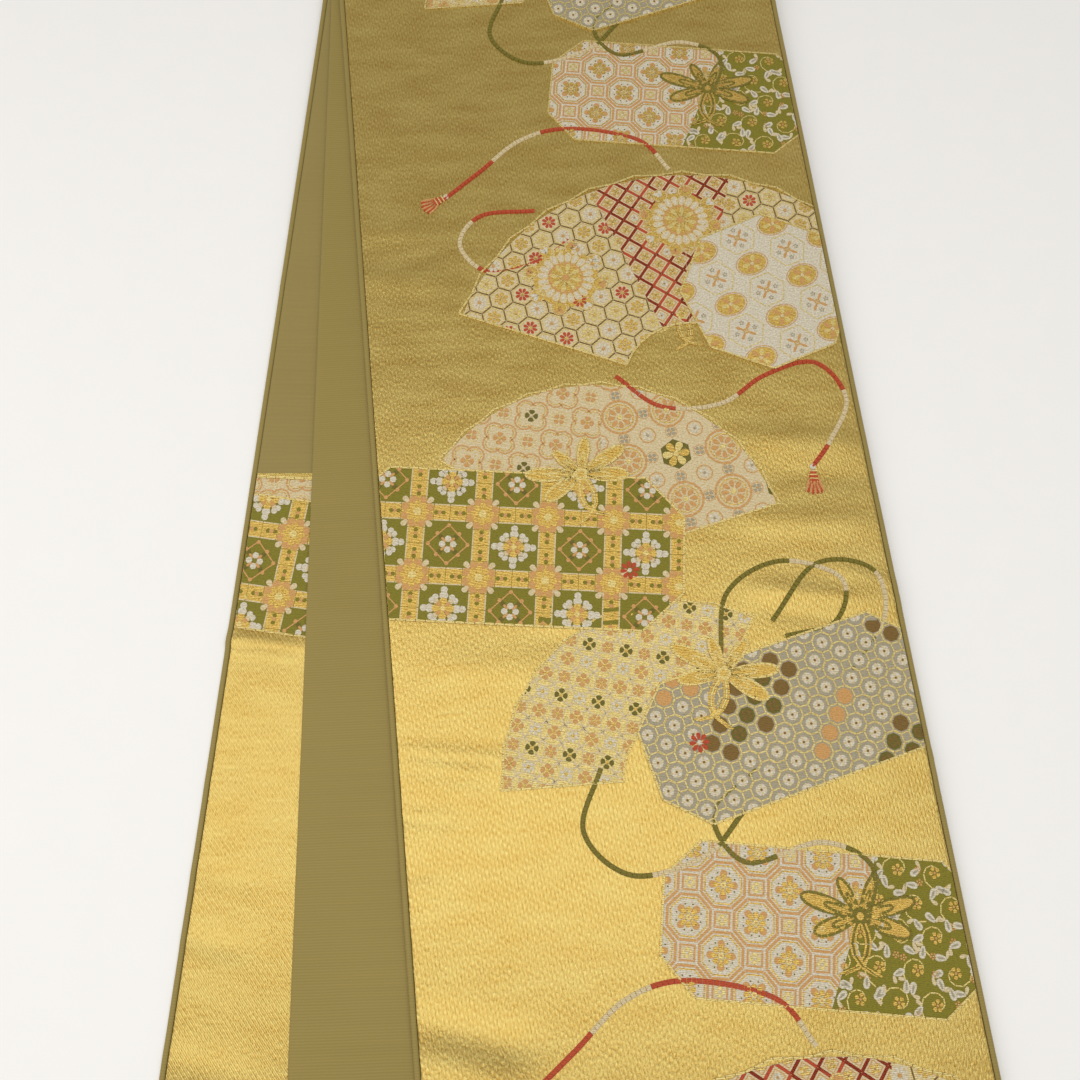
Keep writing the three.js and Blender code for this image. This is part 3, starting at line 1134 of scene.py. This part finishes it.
class Figuring:
    """All the coloured floats of one woven figure, in the plane of a stretch of the face."""

    def __init__(self, stretch, shift=0.0):
        self.stretch = stretch
        self.shift = shift
        self.marks = []
        self.grounds = {}

    def limits(self):
        margin = LINING_BORDER + 0.7
        far, near = (6.0, -STRAIGHT_LENGTH - 3.0)
        if self.stretch is LOWER:
            far, near = (PATTERN_START, -LOWER.length + 6.0)
        other = CLOTH_WIDTH - margin
        return [(margin, near), (other, near), (other, far), (margin, far)]

    def add(self, mark):
        moved = [(x, y + self.shift) for x, y in mark.points]
        kept = clipped(moved, self.limits())
        if len(kept) >= 3 and abs(area(kept)) > 0.05:
            self.marks.append(Mark(kept, mark.thread, mark.level))

    def add_all(self, marks):
        for mark in marks:
            self.add(mark)

    def over(self, draw, *details):
        """Whatever a drawing function adds, raised to lie over a panel."""
        lifted = Figuring(self.stretch, self.shift)
        draw(lifted, *details)
        self.marks += [
            Mark(mark.points, mark.thread, mark.level + OVER_PANEL) for mark in lifted.marks
        ]

    def add_ground(self, outline, thread, level):
        moved = clipped([(x, y + self.shift) for x, y in outline], self.limits())
        if len(moved) < 3:
            return
        low_x, high_x = min(p[0] for p in moved), max(p[0] for p in moved)
        low_y, high_y = min(p[1] for p in moved), max(p[1] for p in moved)
        cells = self.grounds.setdefault((thread, level), [])
        for column in range(math.floor(low_x / GROUND_CELL), math.ceil(high_x / GROUND_CELL)):
            for row in range(math.floor(low_y / GROUND_CELL), math.ceil(high_y / GROUND_CELL)):
                left, near = column * GROUND_CELL, row * GROUND_CELL
                right, far = left + GROUND_CELL, near + GROUND_CELL
                cell = [(left, near), (right, near), (right, far), (left, far)]
                kept = clipped(cell, moved)
                if len(kept) >= 3 and area(kept) > 0.02:
                    cells.append(kept)

    def panel(self, shape, centre, turn, lift=0.0, extras=()):
        """A panel of woven repeats, its ground, its outline and what lies over it."""
        leaves, rim = shape
        reach = max(math.hypot(*point) for point in rim)
        grown = {}
        for leaf in leaves:
            repeat, thread, own_turn = REPEATS[leaf.repeat]
            outline = [turned(point, turn, centre) for point in leaf.outline]
            self.add_ground(outline, thread, GROUND + lift)
            if leaf.repeat not in grown:
                grown[leaf.repeat] = self.laid(repeat(reach), turn + own_turn, centre, lift)
            self.inlay(grown[leaf.repeat], outline)
        for extra in extras:
            self.inlay(self.laid(extra, turn, centre, lift), None, [
                [turned(point, turn, centre) for point in leaf.outline] for leaf in leaves
            ])
        path = [turned(point, turn, centre) for point in rim]
        fine = divided(path + [path[0]], 6.0)
        self.add_all(band(fine, 1.3, "pale_gold", TRIM + lift))

    def laid(self, marks, turn, centre, lift):
        return [
            Mark([turned(point, turn, centre) for point in mark.points], mark.thread, mark.level + lift)
            for mark in marks
        ]

    def inlay(self, marks, outline, outlines=None):
        for region in outlines or [outline]:
            centre_x = sum(p[0] for p in region) / len(region)
            centre_y = sum(p[1] for p in region) / len(region)
            reach = max(math.hypot(p[0] - centre_x, p[1] - centre_y) for p in region)
            for mark in marks:
                x, y = mark.points[0]
                if math.hypot(x - centre_x, y - centre_y) > reach + 12.0:
                    continue
                kept = clipped(mark.points, region)
                if len(kept) >= 3:
                    self.add(Mark(kept, mark.thread, mark.level))

    def build(self, name):
        threads = sorted({mark.thread for mark in self.marks} | {key[0] for key in self.grounds})
        slot_of = {thread: index for index, thread in enumerate(threads)}
        plane, rises, faces, slots = [], [], [], []
        for (thread, level), cells in sorted(self.grounds.items()):
            self.build_ground(cells, level, slot_of[thread], plane, rises, faces, slots)
        for mark in self.marks:
            build_mark(mark, slot_of[mark.thread], plane, rises, faces, slots)
        chart = np.array(plane)
        points = drape(self.stretch, chart[:, 0], chart[:, 1], np.array(rises))
        materials = [THREADS[thread] for thread in threads]
        piece = make_piece(name, points, faces, slots, materials, chart * MM, False)
        return piece

    def build_ground(self, cells, level, slot, plane, rises, faces, slots):
        index = {}
        first = len(plane)
        rings = []
        for cell in cells:
            ring = []
            for point in cell:
                key = (round(point[0], 2), round(point[1], 2))
                if key not in index:
                    index[key] = len(index)
                    plane.append(point)
                    rises.append(level)
                if not ring or ring[-1] != index[key]:
                    ring.append(index[key])
            if ring[0] == ring[-1]:
                ring.pop()
            if len(set(ring)) == len(ring) and len(ring) >= 3:
                rings.append(ring)
        count = len(index)
        plane.extend(plane[first : first + count])
        rises.extend([-SINK] * count)
        edges = {(ring[k - 1], ring[k]) for ring in rings for k in range(len(ring))}
        for ring in rings:
            faces.append([first + k for k in ring])
            faces.append([first + count + k for k in reversed(ring)])
            slots += [slot, slot]
        for a, b in sorted(edges):
            if (b, a) not in edges:
                faces.append([first + b, first + a, first + a + count, first + b + count])
                slots.append(slot)


def divided(path, step):
    """A path with extra points, so that no step is longer than the given one."""
    points = [path[0]]
    for start, end in zip(path, path[1:]):
        pieces = max(1, math.ceil(math.dist(start, end) / step))
        points += [
            (start[0] + (end[0] - start[0]) * k / pieces, start[1] + (end[1] - start[1]) * k / pieces)
            for k in range(1, pieces + 1)
        ]
    return points


def build_mark(mark, slot, plane, rises, faces, slots):
    """One raised patch with sloping sides and a flat top."""
    points = mark.points if area(mark.points) > 0 else mark.points[::-1]
    count = len(points)
    centre_x = sum(p[0] for p in points) / count
    centre_y = sum(p[1] for p in points) / count
    first = len(plane)
    plane.extend(points)
    rises.extend([-SINK] * count)
    for x, y in points:
        away = math.hypot(x - centre_x, y - centre_y)
        keep = 1.0 - min(0.22, 0.35 * away) / max(away, 1e-6)
        plane.append((centre_x + (x - centre_x) * keep, centre_y + (y - centre_y) * keep))
        rises.append(mark.level)
    faces.append([first + k for k in reversed(range(count))])
    faces.append([first + count + k for k in range(count)])
    slots += [slot, slot]
    for k in range(count):
        after = (k + 1) % count
        faces.append([first + k, first + after, first + count + after, first + count + k])
        slots.append(slot)


# ---------------------------------------------------------------- figuring: cords and tassels


def curve_through(points, step=3.0):
    """A smooth path through a few chosen points."""
    points = [np.array(p, float) for p in points]
    ends = [2 * points[0] - points[1], *points, 2 * points[-1] - points[-2]]
    path = []
    for a, b, c, d in zip(ends, ends[1:], ends[2:], ends[3:]):
        pieces = max(2, int(np.linalg.norm(c - b) / step))
        for k in range(pieces):
            t = k / pieces
            path.append(tuple(0.5 * (
                2 * b + (c - a) * t + (2 * a - 5 * b + 4 * c - d) * t**2
                + (3 * b - a - 3 * c + d) * t**3
            )))
    path.append(tuple(points[-1]))
    return path


def cord(figuring, points, colours, run=42.0, width=3.0, level=0.7):
    """A woven cord whose colour changes at even runs, thicker down its middle."""
    path = curve_through(points)
    travelled = 0.0
    for index in range(len(path) - 1):
        start = max(0, index - 1)
        end = min(len(path), index + 3)
        thread = colours[int(travelled / run) % len(colours)]
        local = band(path[start:end], width, thread, level - 0.2)
        figuring.add(local[index - start])
        core = band(path[start:end], width * 0.55, thread, level)
        figuring.add(core[index - start])
        travelled += math.dist(path[index], path[index + 1])


def tassel(figuring, at, angle, size=19.0):
    """A bound head with a skirt of vermilion strands."""
    for k in range(9):
        lean = (k - 4) * 0.085
        figuring.add(petal(at, angle + lean, 0.30 * size, size * (1.0 - 0.02 * abs(k - 4)),
                           0.10 * size, "vermilion" if k % 2 else "copper", PETAL + 0.1))
    figuring.add(petal(at, angle, 0.10 * size, 0.52 * size, 0.34 * size, "vermilion", TRIM))
    for k in range(3):
        spot = polar(at, (0.14 + 0.13 * k) * size, angle)
        ends = [polar(spot, 0.15 * size, angle + side * math.pi / 2) for side in (-1, 1)]
        figuring.add_all(band(ends, 0.9, "pale_gold", TRIM + 0.1))
    figuring.add(disc(at, 0.11 * size, "white", TRIM + 0.05, 8))


def bow(figuring, at, angle, size, threads):
    """A tied bow of flat cord: two wide loops, two small ones, a knot and two tails."""
    light, deep = threads
    for lean, reach, width in ((1.95, 0.8, 0.24), (-1.85, 0.86, 0.24), (1.3, 1.0, 0.2),
                               (-1.25, 0.95, 0.2), (0.55, 0.66, 0.2), (-0.4, 0.72, 0.2)):
        heading = angle + lean
        figuring.add(petal(at, heading, 0.0, size * reach, size * width * 1.2, deep, PETAL))
        for ring_share in (1.0, 0.8, 0.6, 0.4):
            path = []
            for k in range(15):
                share = k / 14
                out = size * reach * math.sin(math.pi * share) * ring_share
                swing = width * 3.4 * (share - 0.5) * (0.4 + 0.6 * ring_share)
                path.append(polar(at, out, heading + swing))
            thread = light if ring_share in (1.0, 0.6) else deep
            figuring.add_all(band(path, 1.7, thread, PETAL + 0.2))
    for side in (-1, 1):
        tail = [polar(at, size * (0.1 + 0.17 * k), angle + math.pi + side * (0.42 - 0.03 * k * k))
                for k in range(6)]
        for shift in (-1.3, 0.0, 1.3):
            moved = [polar(point, shift, angle + math.pi / 2) for point in tail]
            figuring.add_all(band(moved, 1.2, deep if shift else light, PETAL + 0.18))
    for k in range(5):
        figuring.add(petal(at, angle + k * 1.26, 0.0, 0.14 * size, 0.13 * size, light, TRIM + 0.2))
    figuring.add(disc(at, 0.07 * size, deep, TRIM + 0.3, 8))


# ---------------------------------------------------------------- figuring: the design

PALE_CORD = ("olive", "olive", "cream")
RED_CORD = ("vermilion", "cream", "vermilion")


def upper_figures(shift):
    """The fan, card and eight-sided medallion at the right of the design."""
    cards = Figuring(TOP, shift)
    cord(cards, [(60, -247), (86, -228), (116, -206), (150, -200), (196, -214), (214, -240)], RED_CORD)
    cord(cards, [(120, -262), (84, -262), (68, -282), (84, -304), (118, -300), (140, -286)], RED_CORD)
    cord(cards, [(158, -388), (184, -412), (222, -414), (252, -398), (286, -392), (302, -418),
                 (286, -446), (272, -462)], RED_CORD)
    tassel(cards, (62, -245), math.radians(205))
    tassel(cards, (272, -462), math.radians(-95))
    cards.panel(
        card(176, 82, 20, 0.60, "octagons", "scrolls"), (228, -182), math.radians(-11)
    )
    bow(cards, (250, -178), math.radians(80), 34, ("olive", "gold"))
    fans = Figuring(TOP, shift)
    fans.panel(
        fan(44, 158, math.radians(118), ["hexagons"] * 4 + ["lattice"] * 3 + ["hexagons"] * 3),
        (206, -400), math.radians(6), IN_FRONT,
        (chrysanthemum((-62, 92), 27), chrysanthemum((22, 118), 27)),
    )
    fans.panel(card(104, 104, 30, None, "ovals"), (264, -338), math.radians(18), 2 * IN_FRONT)
    bow(fans, (206, -350), math.radians(95), 26, ("pale_gold", "gold"))
    return cards, fans


def middle_figures(shift):
    """The two cards at the left of the design, the green one in front."""
    figures = Figuring(TOP, shift)
    figures.panel(
        fan(36, 118, math.radians(128), ["quatrefoils"] * 5 + ["rings"] * 6),
        (132, -508), math.radians(-14),
    )
    figures.panel(card(206, 96, 24, None, "bars"), (82, -494), math.radians(-9), IN_FRONT)
    figures.over(Figuring.add_all, flower((150, -516), 6.0, 8, "vermilion", "white"))
    figures.over(bow, (128, -452), math.radians(100), 34, ("pale_gold", "gold"))
    return figures


def near_figures(shift):
    """The netted card and the fan at the near right of the design, with their looped cord."""
    figures = Figuring(TOP, shift)
    cord(figures, [(196, -574), (206, -536), (240, -520), (276, -534), (268, -560), (236, -566)],
         PALE_CORD)
    cord(figures, [(230, -556), (262, -524), (296, -530), (298, -560), (272, -590)], PALE_CORD)
    cord(figures, [(118, -630), (104, -664), (128, -690), (170, -684), (196, -662)], PALE_CORD)
    cord(figures, [(206, -640), (178, -662), (192, -690), (236, -684), (262, -700), (254, -730)],
         PALE_CORD)
    figures.panel(
        fan(34, 104, math.radians(120), ["circles"] * 9), (164, -640), math.radians(28)
    )
    figures.panel(card(176, 84, 22, None, "cells"), (232, -612), math.radians(13), IN_FRONT)
    figures.over(Figuring.add_all, flower((176, -622), 6.0, 8, "vermilion", "white"))
    figures.over(bow, (196, -584), math.radians(70), 34, ("pale_gold", "gold"))
    return figures


def lower_stretch_figures():
    """What shows of the design on the lower stretch, which starts at a woven line."""
    figures = Figuring(LOWER)
    figures.panel(card(150, 120, 26, None, "quatrefoils"), (52, -452), math.radians(6))
    figures.panel(card(150, 84, 22, None, "bars"), (50, -496), math.radians(-5), 0.4)
    start = divided([(4.0, PATTERN_START - 1.0), (130.0, PATTERN_START - 1.0)], 6.0)
    figures.add_all(band(start, 1.6, "pale_gold", TRIM + 0.4))
    return figures


def figure_pieces():
    pieces = []
    for index, shift in enumerate((DESIGN_REPEAT, 0.0, -DESIGN_REPEAT)):
        if shift <= 0:
            cards, fans = upper_figures(shift)
            pieces.append(cards.build(f"card_figure_{index}"))
            pieces.append(fans.build(f"fan_figure_{index}"))
            pieces.append(middle_figures(shift).build(f"green_card_figure_{index}"))
        near = near_figures(shift)
        if near.marks:
            pieces.append(near.build(f"netted_card_figure_{index}"))
    pieces.append(lower_stretch_figures().build("lower_stretch_figure"))
    return pieces


figures = figure_pieces()

total_length = rows[-1][1]
total_length * MM
total_length * MM

# ---------------------------------------------------------------- floor, light and camera


def floor_finish():
    finish = Finish("pale_floor")
    place = finish.node("ShaderNodeTexCoord", {}, {})
    grain = finish.node(
        "ShaderNodeTexNoise", {}, {0: Wire(finish, place.outputs["Object"]), 2: 40.0}
    )
    tone = finish.mix(Wire(finish, grain.outputs[0]), (0.97, 0.97, 0.97, 1), (0.99, 0.99, 0.99, 1))
    return finish.surface(
        Wire(finish, grain.outputs[0]), 0.02, {"Base Color": tone},
        {"Roughness": 0.9, "Specular IOR Level": 0.1},
    )


def add_floor():
    reach = 4.0
    mesh = bpy.data.meshes.new("floor")
    corners = [(-reach, -reach, 0), (reach, -reach, 0), (reach, reach, 0), (-reach, reach, 0)]
    mesh.from_pydata(corners, [], [(0, 1, 2, 3)])
    mesh.materials.append(floor_finish())
    floor = bpy.data.objects.new("floor", mesh)
    floor.location.z = -0.0004
    bpy.context.collection.objects.link(floor)
    return floor


CAMERA_FOOT = (77.6, -680.0)
CAMERA_HEIGHT = 638.5
CAMERA_HEADING = math.radians(6.28)
CAMERA_PITCH = math.radians(73.15)


def from_camera(aside, ahead, height):
    """A place given from the camera's foot, aside and ahead of its heading, in metres."""
    sine, cosine = math.sin(CAMERA_HEADING), math.cos(CAMERA_HEADING)
    foot = to_frame(*np.array([*CAMERA_FOOT, 0.0]))
    return (
        foot[0] + aside * cosine + ahead * sine,
        foot[1] - aside * sine + ahead * cosine,
        height,
    )


def add_camera():
    data = bpy.data.cameras.new("camera")
    data.sensor_width = 36.0
    data.lens = 36.0
    data.clip_start = 0.01
    camera = bpy.data.objects.new("camera", data)
    camera.location = from_camera(0.0, 0.0, CAMERA_HEIGHT * MM)
    camera.rotation_euler = (math.pi / 2 - CAMERA_PITCH, 0.0, -CAMERA_HEADING)
    bpy.context.collection.objects.link(camera)
    bpy.context.scene.camera = camera


def add_softbox(name, place, tilt, turn, size, watts, colour):
    data = bpy.data.lights.new(name, "AREA")
    data.shape = "RECTANGLE"
    data.size, data.size_y = size
    data.energy = watts
    data.color = colour
    lamp = bpy.data.objects.new(name, data)
    lamp.location = place
    lamp.rotation_euler = (tilt, 0.0, turn)
    bpy.context.collection.objects.link(lamp)


def add_lights():
    world = bpy.data.worlds.new("studio")
    bpy.context.scene.world = world
    world.use_nodes = True
    world.node_tree.nodes["Background"].inputs[0].default_value = (1.0, 0.97, 0.92, 1.0)
    world.node_tree.nodes["Background"].inputs[1].default_value = 0.48
    add_softbox(
        "overhead", from_camera(0.0, 0.08, 1.5), 0.0, -CAMERA_HEADING,
        (2.4, 1.16), 12.4, (1, 0.985, 0.95),
    )
    add_softbox(
        "side", from_camera(-1.6, 0.3, 1.2), math.radians(-50), 0.0, (0.8, 1.4), 9.0, (1, 0.98, 0.95)
    )


add_floor()
add_camera()
add_lights()
bpy.context.scene.view_settings.view_transform = "Standard"
